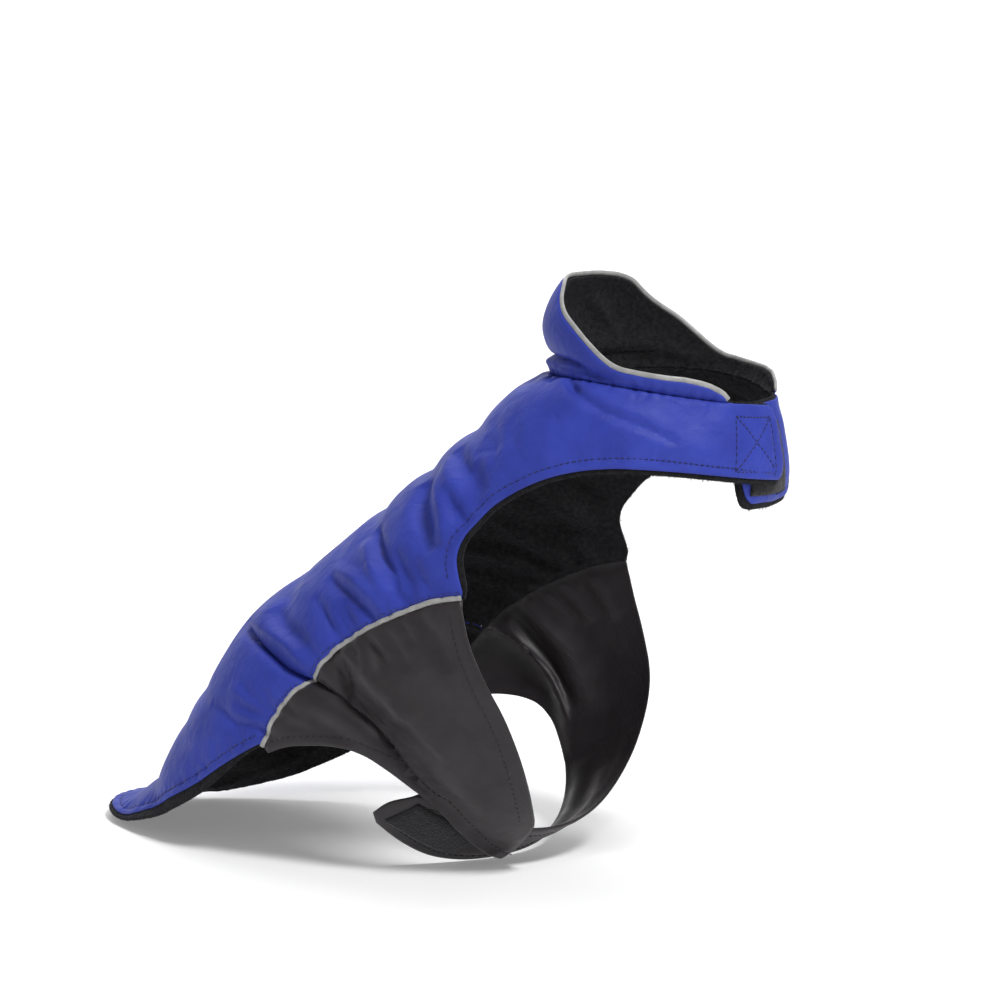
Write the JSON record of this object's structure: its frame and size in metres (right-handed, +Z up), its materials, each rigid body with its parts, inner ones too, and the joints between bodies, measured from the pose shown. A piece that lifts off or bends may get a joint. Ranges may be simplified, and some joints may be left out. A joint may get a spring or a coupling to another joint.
{
  "type": "dog vest",
  "caption": "Fleece-lined nylon vest for a small dog, worn shape, with stand collar, crossed chest flaps, piped side seams and a belly wrap.",
  "frame": {"origin": "inside of the back at the withers, on the middle of the back, where the vest hangs on its wearer", "axes": "+X the wearer's forward, +Y the wearer's left, +Z up; the wearer sits, so the back slopes down towards -X"},
  "size_m": [0.4113, 0.1865, 0.31],
  "materials": {
    "back_shell": "plain-woven royal blue nylon with a soft sheen",
    "back_lining": "black fleece, matt, short pile",
    "collar_shell": "plain-woven royal blue nylon with a soft sheen",
    "collar_lining": "black fleece, matt, short pile",
    "collar_piping": "grey reflective piping, satin",
    "side_piping_right": "grey reflective piping, satin",
    "side_piping_left": "grey reflective piping, satin",
    "belly_panel_right": "black woven nylon, satin",
    "belly_panel_left": "black woven nylon, satin",
    "chest_loop_patch": "black loop tape, matt",
    "chest_hook_patch": "black hook tape, dull",
    "belly_loop_patch": "black loop tape, matt",
    "belly_hook_patch": "black hook tape, dull"
  },
  "bodies": {
    "root": {"back_shell": "back_shell", "back_lining": "back_lining", "collar_shell": "collar_shell", "collar_lining": "collar_lining", "collar_piping": "collar_piping", "side_piping_right": "side_piping_right", "side_piping_left": "side_piping_left", "belly_panel_right": "belly_panel_right", "belly_panel_left": "belly_panel_left", "chest_loop_patch": "chest_loop_patch", "chest_hook_patch": "chest_hook_patch", "belly_loop_patch": "belly_loop_patch", "belly_hook_patch": "belly_hook_patch"}
  },
  "joints": []
}
